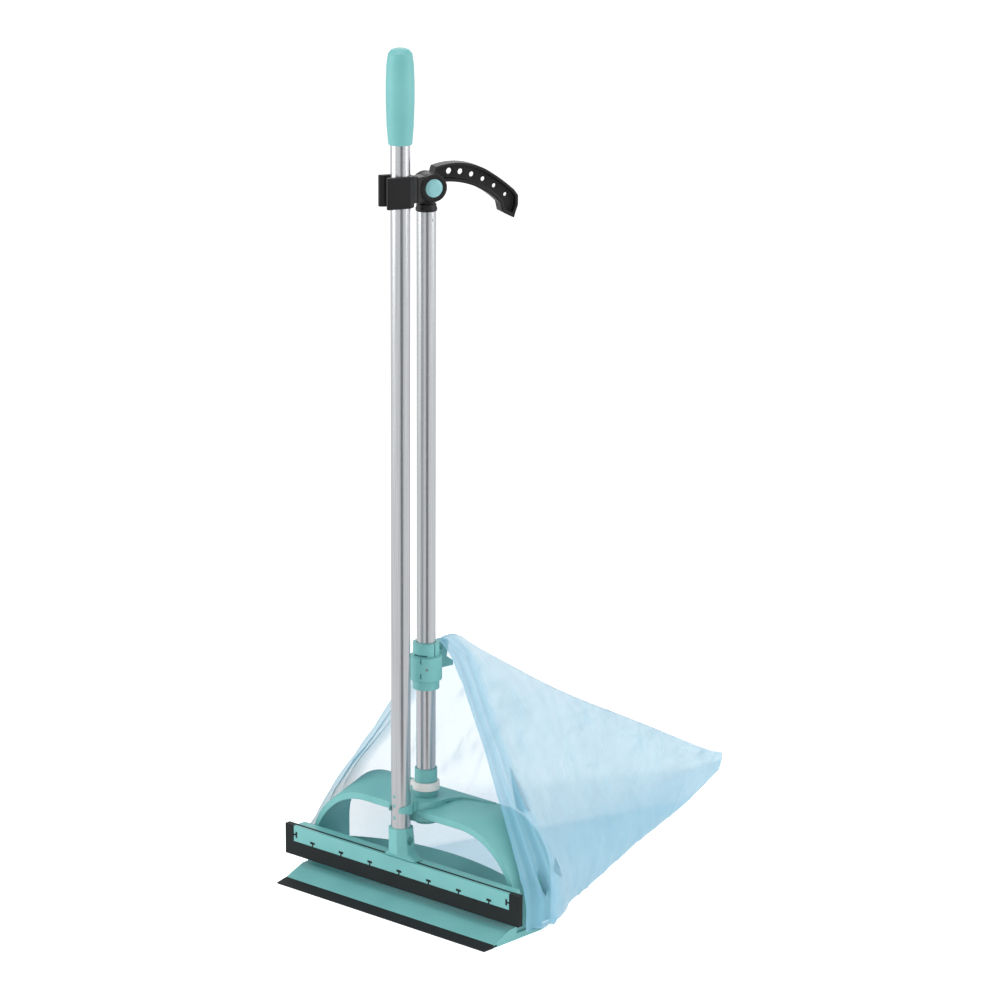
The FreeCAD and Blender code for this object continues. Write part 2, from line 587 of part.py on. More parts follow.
arm = doc.addObject("Part::Feature", "arm")
HOLE_COUNT = 6
arm_half = number("arm_half")
arm_shape = hook_slab(0, arm_half).cut(hook_slab(number("arm_flange"), arm_half + 1))
arm_shape = arm_shape.fuse(hook_slab(0, number("arm_web") / 2))
for k in range(HOLE_COUNT):
    share = k / (HOLE_COUNT - 1)
    across = number("arm_reach") * (0.255 + 0.655 * share)
    sunk = number("arm_depth") * (0.42 + 0.1 * share + 1.2 * share ** 2)
    radius = number("hole_radius") * (1 - 0.35 * share)
    centre = FreeCAD.Vector(-2 * arm_half, across, number("hub_height + arm_rise") - sunk)
    arm_shape = arm_shape.cut(Part.makeCylinder(radius, 4 * arm_half, centre, FreeCAD.Vector(1, 0, 0)))
arm.Shape = arm_shape.removeSplitter()
keep(turned(cut(fuse(handle_hub, arm), handle_bore, gear_pocket)), "hook_handle")

# ---------------------------------------------------------------- bag holder that slides on the tube
collar_core = fuse(
    cylinder("collar_sleeve", "collar_high - collar_low", ("0", "0", "collar_low")),
    cylinder("collar_radius", "collar_body_high - collar_body_low", ("0", "0", "collar_body_low")))
collar_bore = cylinder("tube_dia / 2 + slide_gap", "2 * collar_high", ("0", "0", "0"))


def arc_band(inner, outer, height, low, start, sweep):
    """Part of a ring about the tube: start and sweep in degrees, counted from +X."""
    band = cylinder(outer, height, ("0", "0", low))
    bind(band, Angle=sweep)
    band.Placement.Rotation = FreeCAD.Rotation(FreeCAD.Vector(0, 0, 1), start)
    return cut(band, cylinder(inner, f"{height} + 2", ("0", "0", f"{low} - 1")))


LEVER_PIN_ANGLE = 110
LEVER_LOW = "collar_body_low + 2.5"
LEVER_HEIGHT = "collar_body_high - collar_body_low - 5"
LEVER_IN = "collar_radius - lever_wall"
lever_room = arc_band(f"{LEVER_IN} - slide_gap", "collar_radius + 5", LEVER_HEIGHT, LEVER_LOW,
                      LEVER_PIN_ANGLE - 9, "lever_sweep + 15")
pin_ring = "collar_radius - lever_wall / 2"
PIN_SPOT = (f"({pin_ring}) * cos({LEVER_PIN_ANGLE})", f"({pin_ring}) * sin({LEVER_PIN_ANGLE})")
pin_hole = cylinder("lever_wall / 4 + 0.05", f"{LEVER_HEIGHT} + 3", (*PIN_SPOT, f"{LEVER_LOW} - 1.5"))
TOP_SLIT_LOW = "collar_body_high + 1.5"
SLIT_DEPTH = "tube_dia / 2 + 1.5"
top_slit = arc_band(SLIT_DEPTH, "collar_radius", "2", TOP_SLIT_LOW, -108, "65")
side_slit = arc_band(SLIT_DEPTH, "collar_radius", "17", "collar_high - 16", -9, "5")
body_slits = [
    arc_band("collar_radius - 2", "collar_radius + 1", "7", f"collar_body_low + {rise}", -69, "5")
    for rise in (4, 23)
]
FRONT = -44
clamp_screw = cylinder("1.5", "collar_radius - tube_dia / 2 - 1", ("0", "0", "0"))


def radial(thing, angle, radius, height):
    """Turn a cylinder to point out of the collar at an angle, starting at a radius."""
    thing.Placement.Rotation = (
        FreeCAD.Rotation(FreeCAD.Vector(0, 0, 1), angle) * FreeCAD.Rotation(FreeCAD.Vector(0, 1, 0), 90))
    for letter, text in zip("xyz", (f"({radius}) * cos({angle})", f"({radius}) * sin({angle})", height)):
        thing.setExpression(f"Placement.Base.{letter}", link(text))
    return thing


CLAMP_Z = "(collar_body_low + collar_body_high) / 2 + 1"
radial(clamp_screw, FRONT, "tube_dia / 2 + slide_gap + 0.3", CLAMP_Z)
clamp_hole = radial(cylinder("1.55", "collar_radius", ("0", "0", "0")), FRONT, "tube_dia / 2", CLAMP_Z)
keep(clamp_screw, "clamp_screw")
keep(cut(
    collar_core, collar_bore, lever_room, pin_hole, top_slit, side_slit, clamp_hole, *body_slits,
), "bag_collar")

lever_band = arc_band(LEVER_IN, "collar_radius", f"{LEVER_HEIGHT} - 1", f"{LEVER_LOW} + 0.5",
                      LEVER_PIN_ANGLE, "lever_sweep")
lever_barrel = cylinder("lever_wall / 2 - 0.1", f"{LEVER_HEIGHT} - 1", (*PIN_SPOT, f"{LEVER_LOW} + 0.5"))
lever_bore = cylinder("lever_wall / 4 + 0.05", "collar_high", (*PIN_SPOT, "collar_low"))
keep(cut(fuse(lever_band, lever_barrel), lever_bore), "clamp_lever")
keep(cylinder("lever_wall / 4", f"{LEVER_HEIGHT} + 2.8", (*PIN_SPOT, f"{LEVER_LOW} - 1.4")), "lever_pin")

hook_plate = body("bag_hook_plate")
pad(hook_plate, "YZ", (
    ("tube_dia / 2 + 2", "collar_body_low + 10"),
    ("hook_reach + 4", "collar_body_low + 8"),
    ("hook_reach + 4", "collar_body_low + 14"),
    ("hook_reach - 8", "collar_body_low + 22"),
    ("hook_reach - 4", "collar_high - 8"),
    ("hook_reach - 6", "collar_high - 4"),
    ("hook_reach - 12", "collar_high - 4"),
    ("hook_reach - 15", "collar_body_high + 4"),
    ("tube_dia / 2 + 2", "collar_body_high + 2"),
), "2 * hook_half", middle=True)
collar_solid = fuse(
    cylinder("collar_sleeve + seat_gap", "collar_high", ("0", "0", "0")),
    cylinder("collar_radius + seat_gap", "collar_body_high - collar_body_low + 0.1",
             ("0", "0", "collar_body_low - 0.05")))
keep(cut(hook_plate, collar_solid), "bag_hook")

# ---------------------------------------------------------------- sweeper: tube, grip and neck
front_tube = cylinder("tube_dia / 2", "sweeper_tube_top - sweeper_tube_low",
                      ("0", "-tube_gap", "sweeper_tube_low"))
front_bore = cylinder("tube_dia / 2 - tube_wall", "sweeper_tube_top",
                      ("0", "-tube_gap", "sweeper_tube_low - 1"))
PIP_HEIGHTS = [f"sweeper_tube_low + {rise}" for rise in (14, 29.6, 41.7)]
pip_holes = [
    cylinder("2.1", "tube_dia", ("0", "-tube_gap - tube_dia", height), "Y") for height in PIP_HEIGHTS
]
keep(cut(front_tube, front_bore, *pip_holes), "sweeper_tube")

grip = body("grip_turned")
grip.setExpression("Placement.Base.y", link("-tube_gap"))
GRIP_END = "tube_dia / 2 + grip_wall"
GRIP_MID = f"{GRIP_END} + grip_swell"
GRIP_SPAN = "(grip_top - grip_low)"
revolve(grip, (
    ("tube_dia / 2 + seat_gap", "grip_low"),
    (f"({GRIP_END}) - 1", "grip_low"),
    (GRIP_END, "grip_low + 1"),
    (f"(({GRIP_END}) + ({GRIP_MID})) / 2 + 0.4", f"grip_low + {GRIP_SPAN} * 0.2"),
    (GRIP_MID, f"grip_low + {GRIP_SPAN} * 0.45"),
    (GRIP_MID, f"grip_low + {GRIP_SPAN} * 0.65"),
    (f"({GRIP_MID}) - 0.8", f"grip_low + {GRIP_SPAN} * 0.83"),
    (GRIP_END, "grip_top - 6"),
    (f"({GRIP_END}) - 4", "grip_top - 1.5"),
    (f"({GRIP_END}) - 9", "grip_top"),
    ("0", "grip_top"),
    ("0", "sweeper_tube_top + seat_gap"),
    ("tube_dia / 2 + seat_gap", "sweeper_tube_top + seat_gap"),
))
keep(grip, "grip")

neck_loft = body("neck_flare")
neck_loft.setExpression("Placement.Base.y", link("-tube_gap"))
FOOT_BACK = "tube_gap - blade_front + 17"
base_sketch = sketch_on(neck_loft, "XY", "head_top + seat_gap")
outline(base_sketch, (
    ("-neck_foot", "-2"), ("-neck_foot + 6", "-3.5"), ("neck_foot - 6", "-3.5"), ("neck_foot", "-2"),
    ("neck_foot", f"{FOOT_BACK} - 2"), ("neck_foot - 6", FOOT_BACK),
    ("-neck_foot + 6", FOOT_BACK), ("-neck_foot", f"{FOOT_BACK} - 2")))
CORNERS = (202.5, 247.5, 292.5, 337.5, 22.5, 67.5, 112.5, 157.5)


def octagon(radius, shift):
    """Eight corners round the tube whose flats stand a radius out."""
    return [
        (f"({radius}) / cos(22.5) * cos({angle})", f"({radius}) / cos(22.5) * sin({angle}) + {shift}")
        for angle in CORNERS
    ]


waist_sketch = sketch_on(neck_loft, "XY", "head_top + neck_foot_height")
outline(waist_sketch, octagon("neck_waist", "2"))
top_sketch = sketch_on(neck_loft, "XY", "sweeper_tube_low - seat_gap")
outline(top_sketch, octagon("neck_top_radius", "0"))
flare_loft = neck_loft.newObject("PartDesign::AdditiveLoft", "flare")
flare_loft.Profile = base_sketch
flare_loft.Sections = [waist_sketch, top_sketch]
flare_loft.Ruled = True
spigot = cylinder("tube_dia / 2 - tube_wall - fit_gap", "spigot_length + 2",
                  ("0", "-tube_gap", "sweeper_tube_low - 2"))
pips = [
    cylinder("1.9", "tube_dia / 2", ("0", "-tube_gap - tube_dia / 2 - 0.4", height), "Y")
    for height in PIP_HEIGHTS
]
side_hollows = [
    cylinder("5.5", "neck_waist", (f"{side} * 1.1 * neck_waist - neck_waist / 2", "-tube_gap + 1",
                                   "sweeper_tube_low - 16"), "X")
    for side in (-1, 1)
]
keep(cut(fuse(neck_loft, spigot, *pips), *side_hollows), "neck")

# ---------------------------------------------------------------- sweeper head: bar, rubber and plate
INNER = "blade_half - side_rubber"
STRIP_TOP = "blade_low + rubber_height"
PLATE_BACK = "-blade_front + plate_thick"
SHEET_BACK = f"{PLATE_BACK} + blade_thick"
BAR_LOW = f"{STRIP_TOP} - 6"
NUB_LOW = f"{STRIP_TOP}"
SCREW_LEVEL = "head_top - 6"
PLATE_SCREWS = [f"nub_pitch * {k}" for k in (-2.5, -1.5, -0.5, 0.5, 1.5, 2.5)]
plate_bores = [
    cylinder("1.55", "bar_thick + blade_thick + plate_thick",
             (across, "-blade_front + 1.5", SCREW_LEVEL), "Y")
    for across in PLATE_SCREWS
]


def nub(across, low, room, lying=0):
    """A T of the rubber standing in the plate, or lying on its side and pointing inwards."""
    neck_width, head_width = f"nub_neck + 2 * {room}", f"nub_width + 2 * {room}"
    half = "nub_height / 2"
    deep = f"plate_thick + 2 * {room}"
    at = f"-blade_front - {room}"
    if not lying:
        return fuse(
            box(neck_width, deep, f"{half} + 1", (across, at, f"{low} - 1")),
            box(head_width, deep, f"{half} + {room}", (across, at, f"{low} + {half} - {room}")))
    outer = f"{across} - {lying} * 1.5 * {half}"
    inner = f"{across} - {lying} * ({half} - 1) / 2"
    return fuse(
        box(f"{half} + 1 + {room}", deep, neck_width, (inner, at, f"{low} - ({neck_width}) / 2")),
        box(f"{half} + 2 * {room}", deep, head_width, (outer, at, f"{low} - ({head_width}) / 2")))


def nubs(room):
    """All the rubber's nubs, or the room cut for them."""
    row = [
        nub(f"nub_pitch * {k - 3}", NUB_LOW, room) for k in range(7)
    ]
    ends = [nub(f"{side} * ({INNER})", f"{NUB_LOW} + 9", room, side) for side in (-1, 1)]
    return row + ends


bottom_strip = box("2 * blade_half", "plate_thick + blade_thick", "rubber_height",
                   ("0", "-blade_front", "blade_low"))
side_strips = [
    box("side_rubber", "plate_thick + blade_thick", "head_top - blade_low",
        (f"{side} * (blade_half - side_rubber / 2)", "-blade_front", "blade_low"))
    for side in (-1, 1)
]
web_sheet = box(f"2 * ({INNER}) + 2", "blade_thick", "head_top - blade_low - 1.5",
                ("0", PLATE_BACK, "blade_low + 1"))
keep(cut(fuse(bottom_strip, *side_strips, web_sheet, *nubs("0")), *plate_bores), "rubber_blade")

plate_block = box(f"2 * ({INNER}) - 2 * seat_gap", "plate_thick - seat_gap",
                  f"head_top - 0.4 - ({STRIP_TOP})",
                  ("0", "-blade_front", f"{STRIP_TOP} + seat_gap"))
keep(cut(plate_block, *nubs("seat_gap"), *plate_bores), "clamp_plate")

bar_block = box(f"2 * ({INNER})", "bar_thick - 2 * seat_gap", f"head_top - ({BAR_LOW})",
                ("0", f"{SHEET_BACK} + seat_gap", BAR_LOW))
bar_pocket = [
    box("nub_pitch - 8", "bar_thick", "8", (f"nub_pitch * {k}", f"{SHEET_BACK} + 4", f"{BAR_LOW} - 1"))
    for k in (-3, -2, -1, 0, 1, 2, 3)
]
bar_seats = [
    cylinder("3.2", "bar_thick", (across, f"{SHEET_BACK} + bar_thick - 2", SCREW_LEVEL), "Y")
    for across in PLATE_SCREWS
]
keep(cut(bar_block, *bar_pocket, *plate_bores, *bar_seats), "squeegee_bar")
keep(fuse(*[
    fuse(
        cylinder("3", "1.8", (across, f"{SHEET_BACK} + bar_thick - 1.9", SCREW_LEVEL), "Y"),
        cylinder("1.5", "bar_thick + blade_thick + plate_thick - 3.4",
                 (across, "-blade_front + 1.6", SCREW_LEVEL), "Y"))
    for across in PLATE_SCREWS]), "plate_screws")

# ---------------------------------------------------------------- bag
def bag_solid(inset):
    """The tapering tent of film, drawn inwards by an inset."""
    half, tail = number("bag_half"), number("bag_tail_back")
    behind = number("arch_back + 6")
    front = -number("arch_front") - 12
    apex_y, apex_z = number("hook_reach - 9"), number("collar_high + 4")
    slope = (apex_z - 72) / (apex_y - number("bag_tail_back - 50"))

    def ridge(y):
        return apex_z + slope * (y - apex_y)

    def section(y, wide, low, side, shoulder_half, shoulder, crown):
        low, crown = low + inset, ridge(y) - 1.2 * inset if crown is None else crown - inset
        rights = [
            (wide - inset, low), (wide - inset, side), (shoulder_half - inset, shoulder), (8, crown)]
        loop = rights + [(-x, z) for x, z in reversed(rights)]
        return Part.makePolygon([FreeCAD.Vector(x, y, z) for x, z in loop + loop[:1]])

    stretch = 2 if inset else 0
    wires = [
        section(front - stretch, half, 6, 60, half - 10, 106, None),
        section(behind, half, 6, 60, half - 10, 120, None),
        section(0.5 * tail, half * 0.52, 0.6, 20, half * 0.46, 60, None),
        section(tail - 45, 22, 4, 24, 20, 36, None),
        section(tail - inset, 9, number("bag_tail_height") - 8, number("bag_tail_height") - 4,
                8.5, number("bag_tail_height") + 6, number("bag_tail_height") + 8),
    ]
    return Part.makeLoft(wires, True, True)


bag = doc.addObject("Part::Feature", "bag")
film = number("film")
opening = Part.makePolygon([
    FreeCAD.Vector(0, y, z) for y, z in (
        (-200, -10), (number("-arch_front + 4"), -10), (number("-arch_front + 4"), 20),
        (number("hook_reach - 13"), number("collar_high + 20")), (-200, number("collar_high + 200")),
        (-200, -10))
])
mouth_cut = Part.Face(opening)
mouth_cut.translate(FreeCAD.Vector(-300, 0, 0))
mouth_cut = mouth_cut.extrude(FreeCAD.Vector(600, 0, 0))
pan_half = number("arch_half + 4")
pan_room = number("arch_front + sill_back + 60")
room_corner = FreeCAD.Vector(-pan_half, number("sill_back + 2") - pan_room, -10)
floor_cut = Part.makeBox(2 * pan_half, pan_room, 90, room_corner)
bag.Shape = bag_solid(0).cut(bag_solid(film)).cut(mouth_cut).cut(floor_cut)
keep(bag, "bag")

# ---------------------------------------------------------------- checks and files
doc.recompute()
for thing in doc.Objects:
    if "Invalid" in thing.State or "Error" in thing.State:
        raise RuntimeError(f"{thing.Label} failed: {thing.State}")
for node in NODES:
    if node.Shape.isNull() or not node.Shape.isValid():
        raise RuntimeError(f"{node.Label} has no sound shape")
os.makedirs("parts", exist_ok=True)
for node in NODES:
    node.Shape.exportStep(f"parts/{node.Label}.step")
    print(node.Label, len(node.Shape.Solids), round(node.Shape.Volume))
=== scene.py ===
import math

import bpy
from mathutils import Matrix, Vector, noise
from mathutils.bvhtree import BVHTree


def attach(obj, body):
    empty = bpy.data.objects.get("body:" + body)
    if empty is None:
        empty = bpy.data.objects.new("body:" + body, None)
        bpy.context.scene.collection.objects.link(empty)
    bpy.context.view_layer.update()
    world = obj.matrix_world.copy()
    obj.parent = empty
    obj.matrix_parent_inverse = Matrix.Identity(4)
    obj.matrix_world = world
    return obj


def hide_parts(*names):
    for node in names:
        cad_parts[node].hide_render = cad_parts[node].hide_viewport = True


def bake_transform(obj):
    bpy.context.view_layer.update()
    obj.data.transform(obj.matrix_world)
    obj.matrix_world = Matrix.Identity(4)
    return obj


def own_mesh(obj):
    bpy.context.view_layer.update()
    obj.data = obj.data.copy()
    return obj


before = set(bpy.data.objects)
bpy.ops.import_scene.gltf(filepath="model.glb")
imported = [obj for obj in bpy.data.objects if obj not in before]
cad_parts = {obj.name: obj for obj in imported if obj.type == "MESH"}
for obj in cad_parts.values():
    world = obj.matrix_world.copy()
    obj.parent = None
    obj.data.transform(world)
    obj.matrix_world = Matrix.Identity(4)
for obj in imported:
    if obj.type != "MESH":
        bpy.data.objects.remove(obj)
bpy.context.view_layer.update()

scene = bpy.context.scene
scene.view_settings.view_transform = "Standard"


# ------------------------------------------------------------------ studio
# A seamless white floor, wide soft lights on both sides with a darker gap between them for the
# polished tubes to mirror, and a long lens looking slightly down on the set.
def colour(code):
    """An sRGB hex colour as linear RGBA."""
    parts = [int(code[k:k + 2], 16) / 255 for k in (0, 2, 4)]
    return [c / 12.92 if c <= 0.04045 else ((c + 0.055) / 1.055) ** 2.4 for c in parts] + [1.0]


def add(tree, kind, sockets=None, **settings):
    """A new node with its settings, and its sockets set to values or linked to other nodes."""
    node = tree.nodes.new(kind)
    for name, value in settings.items():
        setattr(node, name, value)
    for name, value in (sockets or {}).items():
        if isinstance(value, bpy.types.NodeSocket):
            tree.links.new(value, node.inputs[name])
        else:
            node.inputs[name].default_value = value
    return node


def finish_named(name):
    """An empty material with its output and main shader."""
    material = bpy.data.materials.new(name)
    material.use_nodes = True
    tree = material.node_tree
    tree.nodes.clear()
    shader = add(tree, "ShaderNodeBsdfPrincipled")
    add(tree, "ShaderNodeOutputMaterial", {"Surface": shader.outputs["BSDF"]})
    return material, tree, shader


def mesh_piece(name, points, faces, material, smooth=True):
    """A mesh object from points in metres."""
    mesh = bpy.data.meshes.new(name)
    mesh.from_pydata([tuple(p) for p in points], [], faces)
    mesh.validate()
    for face in mesh.polygons:
        face.use_smooth = smooth
    mesh.materials.append(material)
    piece = bpy.data.objects.new(name, mesh)
    scene.collection.objects.link(piece)
    return piece


FLOOR_HALF = 30.0
# Matt white paper, bright enough by itself to leave no shadow.
paper, tree, shader = finish_named("white_paper_floor")
shader.inputs["Base Color"].default_value = colour("F6F6F6")
shader.inputs["Roughness"].default_value = 0.9
shader.inputs["Specular IOR Level"].default_value = 0.1
shader.inputs["Emission Color"].default_value = colour("FFFFFF")
shader.inputs["Emission Strength"].default_value = 0.66
floor = mesh_piece("studio_floor", [
    (-FLOOR_HALF, -FLOOR_HALF, 0), (FLOOR_HALF, -FLOOR_HALF, 0),
    (FLOOR_HALF, FLOOR_HALF, 0), (-FLOOR_HALF, FLOOR_HALF, 0)], [(0, 1, 2, 3)], paper, smooth=False)
FLOOR_DROP = 0.0005
floor.location.z = -FLOOR_DROP
floor.visible_glossy = False

AIR_LIGHT, AIR_MIRRORED, AIR_SEEN = 0.45, 0.84, 1.1
world = bpy.data.worlds.new("studio_air")
scene.world = world
world.use_nodes = True
air = world.node_tree.nodes["Background"]
air.inputs["Color"].default_value = colour("FDFDFE")
ray = add(world.node_tree, "ShaderNodeLightPath").outputs
mirrored = add(world.node_tree, "ShaderNodeMapRange", {
    "Value": ray["Is Glossy Ray"], "To Min": AIR_LIGHT, "To Max": AIR_MIRRORED})
level = add(world.node_tree, "ShaderNodeMapRange", {
    "Value": ray["Is Camera Ray"], "To Min": mirrored.outputs["Result"],
    "To Max": AIR_SEEN})
world.node_tree.links.new(level.outputs["Result"], air.inputs["Strength"])

CAMERA_AZIMUTH, CAMERA_ELEVATION, CAMERA_DISTANCE = 42.95, 14.86, 4.984
CAMERA_AIM = Vector((0.0049, -0.0235, 0.5227))


def around(azimuth, elevation, distance, aim):
    """A point seen from aim at an azimuth from the front and an elevation, in degrees."""
    a, e = math.radians(azimuth), math.radians(elevation)
    return aim + distance * Vector((math.sin(a) * math.cos(e), -math.cos(a) * math.cos(e), math.sin(e)))


def facing(spot, aim):
    return (spot - aim).to_track_quat("Z", "Y").to_euler()


camera_data = bpy.data.cameras.new("camera")
camera_data.lens, camera_data.sensor_width, camera_data.shift_x = 147.6, 36.0, 0.084
camera = bpy.data.objects.new("camera", camera_data)
camera.location = around(CAMERA_AZIMUTH, CAMERA_ELEVATION, CAMERA_DISTANCE, CAMERA_AIM)
camera.rotation_euler = facing(camera.location, CAMERA_AIM)
scene.collection.objects.link(camera)
scene.camera = camera

LAMP_DISTANCE = 3.2
LAMP_AIM = Vector((0, 0, 0.5))
for name, turn, rise, wide, high, power in (
        ("left_softbox", -38, 18, 2.2, 2.6, 46), ("right_softbox", 124, 20, 2.0, 2.6, 36),
        ("top_softbox", 30, 78, 2.6, 2.6, 58), ("back_softbox", 215, 35, 2.4, 2.0, 18)):
    light = bpy.data.lights.new(name, "AREA")
    light.shape, light.size, light.size_y, light.energy = "RECTANGLE", wide, high, power
    lamp = bpy.data.objects.new(name, light)
    lamp.location = around(turn, rise, LAMP_DISTANCE, LAMP_AIM)
    lamp.rotation_euler = facing(lamp.location, LAMP_AIM)
    lamp.visible_camera = False
    scene.collection.objects.link(lamp)

# A dull grey card that only mirrored rays meet, so the tubes show a darker stripe.
grey_card, tree, shader = finish_named("grey_flag_card")
shader.inputs["Base Color"].default_value = colour("6C6D70")
shader.inputs["Roughness"].default_value = 0.9
FLAG_FROM, FLAG_TO, FLAG_DISTANCE, FLAG_TOP = 42, 70, 0.5, 1.1
edges = [around(turn, 0, FLAG_DISTANCE, Vector((0, -0.02, 0))) for turn in (FLAG_FROM, FLAG_TO)]
flag = mesh_piece("tube_flag", [
    edges[0], edges[1], edges[1] + Vector((0, 0, FLAG_TOP)), edges[0] + Vector((0, 0, FLAG_TOP))],
    [(0, 1, 2, 3)], grey_card, smooth=False)
for sort in ("camera", "diffuse", "transmission", "volume_scatter", "shadow"):
    setattr(flag, f"visible_{sort}", False)


# ------------------------------------------------------------------ the two tubes
# Drawn aluminium tube, 24 mm across with a 1.2 mm wall, anodised clear. The draw leaves faint
# lines along the tube that stretch every reflection, and the oxide takes the edge off the shine.
MM = 0.001
DRAW_LINE = 0.9 * MM   # the real lines are about 0.1 mm apart, drawn coarser to show

anodised, tree, shader = finish_named("clear_anodised_drawn_aluminium")
# A pale bare metal whose soft long streaks come from the drawn lines.
place = add(tree, "ShaderNodeTexCoord").outputs["Object"]
stretched = add(tree, "ShaderNodeMapping", {
    "Vector": place, "Scale": (1 / DRAW_LINE, 1 / DRAW_LINE, 1 / (140 * MM))}).outputs["Vector"]
lines = add(tree, "ShaderNodeTexNoise", {"Vector": stretched, "Scale": 1.0, "Detail": 3.0}).outputs["Fac"]
tone = add(tree, "ShaderNodeValToRGB", {"Fac": lines})
tone.color_ramp.elements[0].position, tone.color_ramp.elements[1].position = 0.3, 0.7
tone.color_ramp.elements[0].color, tone.color_ramp.elements[1].color = colour("C4C6C9"), colour("D6D8DA")
gloss = add(tree, "ShaderNodeMapRange", {"Value": lines, "To Min": 0.2, "To Max": 0.3})
bump = add(tree, "ShaderNodeBump", {"Height": lines, "Strength": 0.06, "Distance": 0.05 * MM})
tree.links.new(tone.outputs["Color"], shader.inputs["Base Color"])
tree.links.new(gloss.outputs["Result"], shader.inputs["Roughness"])
tree.links.new(bump.outputs["Normal"], shader.inputs["Normal"])
shader.inputs["Metallic"].default_value = 1.0


def refinish(material, *names):
    """Give carried-over nodes a finish."""
    for name in names:
        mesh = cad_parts[name].data
        mesh.materials.clear()
        mesh.materials.append(material)


refinish(anodised, "scoop_tube", "sweeper_tube")


# ------------------------------------------------------------------ scoop: pan, arch and lip
# The pan and the arch over it are polypropylene mouldings in a blue-green, joined by four screws
# from below, with soft broken edges. A strip of black rubber is pressed into the pan's front edge.
GRAIN = 0.6 * MM       # the eroded grain of the tool is near 0.1 mm, drawn coarser to show


def moulded(name, light, dark, rough_low, rough_high, ior, strength, edge):
    """A moulded plastic with broken edges, a grained skin and a slight drift of colour."""
    material, tree, shader = finish_named(name)
    place = add(tree, "ShaderNodeTexCoord").outputs["Object"]
    drift = add(tree, "ShaderNodeTexNoise", {"Vector": place, "Scale": 1 / (60 * MM), "Detail": 2.0})
    tone = add(tree, "ShaderNodeValToRGB", {"Fac": drift.outputs["Fac"]})
    tone.color_ramp.elements[0].position, tone.color_ramp.elements[1].position = 0.35, 0.65
    tone.color_ramp.elements[0].color, tone.color_ramp.elements[1].color = colour(dark), colour(light)
    skin = add(tree, "ShaderNodeTexNoise", {"Vector": place, "Scale": 1 / GRAIN, "Detail": 4.0})
    gloss = add(tree, "ShaderNodeMapRange", {
        "Value": skin.outputs["Fac"], "To Min": rough_low, "To Max": rough_high})
    broken = add(tree, "ShaderNodeBevel", {"Radius": edge * MM}, samples=4)
    bump = add(tree, "ShaderNodeBump", {
        "Height": skin.outputs["Fac"], "Strength": strength, "Distance": 0.05 * MM,
        "Normal": broken.outputs["Normal"]})
    tree.links.new(tone.outputs["Color"], shader.inputs["Base Color"])
    tree.links.new(gloss.outputs["Result"], shader.inputs["Roughness"])
    tree.links.new(bump.outputs["Normal"], shader.inputs["Normal"])
    shader.inputs["IOR"].default_value = ior
    return material


# A satin blue-green: broad soft highlights, no sharp mirror.
teal = moulded("moulded_teal_polypropylene", "6EB0AF", "67A9A9", 0.4, 0.52, 1.49, 0.25, 1.2)
refinish(teal, "scoop_pan", "arch_hood")
# A matt near-black that picks up a little sheen along its edges.
rubber = moulded("extruded_black_rubber", "0E1719", "0A1113", 0.6, 0.75, 1.52, 0.3, 0.6)
rubber.node_tree.nodes["Principled BSDF"].inputs["Specular IOR Level"].default_value = 0.3
refinish(rubber, "lip_rubber")
# A bright plated metal with a fine uneven sheen, for every screw, pin and rivet.
zinc, tree, shader = finish_named("zinc_plated_steel")
place = add(tree, "ShaderNodeTexCoord").outputs["Object"]
patches = add(tree, "ShaderNodeTexNoise", {"Vector": place, "Scale": 1 / (1.5 * MM), "Detail": 3.0})
tone = add(tree, "ShaderNodeValToRGB", {"Fac": patches.outputs["Fac"]})
tone.color_ramp.elements[0].color, tone.color_ramp.elements[1].color = colour("AEB0B3"), colour("CDCFD1")
gloss = add(tree, "ShaderNodeMapRange", {"Value": patches.outputs["Fac"], "To Min": 0.25, "To Max": 0.4})
tree.links.new(tone.outputs["Color"], shader.inputs["Base Color"])
tree.links.new(gloss.outputs["Result"], shader.inputs["Roughness"])
shader.inputs["Metallic"].default_value = 1.0
refinish(zinc, "leg_screws")


# ------------------------------------------------------------------ tube socket and its locking ring
# A moulded socket stands in the arch's boss and takes the long tube, held by one cross screw. A
# pale acetal ring with a finger tab snaps round its foot and locks it to the arch.
refinish(teal, "tube_socket")
# A milky hard white with a slight gloss.
acetal = moulded("moulded_white_acetal", "DEDDDA", "D8D7D4", 0.3, 0.4, 1.48, 0.15, 0.6)
refinish(acetal, "lock_ring")
refinish(zinc, "socket_screw")


# ------------------------------------------------------------------ clips that hold the sweeper
# The lower clip is a short blue-green jaw screwed to the boss. The upper one is a tall black nylon
# jaw screwed to the head, and both spring open round the sweeper's tube.
refinish(teal, "lower_clip")
# A near-black nylon, satin enough to show long grey highlights on its rounded edges.
nylon = moulded("moulded_black_glass_filled_nylon", "110F12", "0B0A0C", 0.36, 0.48, 1.53, 0.3, 1.6)
nylon.node_tree.nodes["Principled BSDF"].inputs["Specular IOR Level"].default_value = 0.3
FACES_KEPT = 0.5


def rounded_copy(name, body, grid, passes, material):
    """A moulding with its corners melted round: its CAD surface re-meshed finely and relaxed."""
    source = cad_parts[name]
    piece = bpy.data.objects.new(f"{name}_moulding", source.data.copy())
    scene.collection.objects.link(piece)
    grid_step = piece.modifiers.new("fine_grid", "REMESH")
    grid_step.mode, grid_step.voxel_size, grid_step.use_smooth_shade = "VOXEL", grid * MM, True
    relax = piece.modifiers.new("relaxed", "SMOOTH")
    relax.factor, relax.iterations = 0.5, passes
    thin_out = piece.modifiers.new("thinned", "DECIMATE")
    thin_out.ratio = FACES_KEPT
    bpy.context.view_layer.update()
    graph = bpy.context.evaluated_depsgraph_get()
    mesh = bpy.data.meshes.new_from_object(piece.evaluated_get(graph))
    piece.modifiers.clear()
    piece.data = mesh
    mesh.materials.clear()
    mesh.materials.append(material)
    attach(piece, body)
    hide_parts(name)


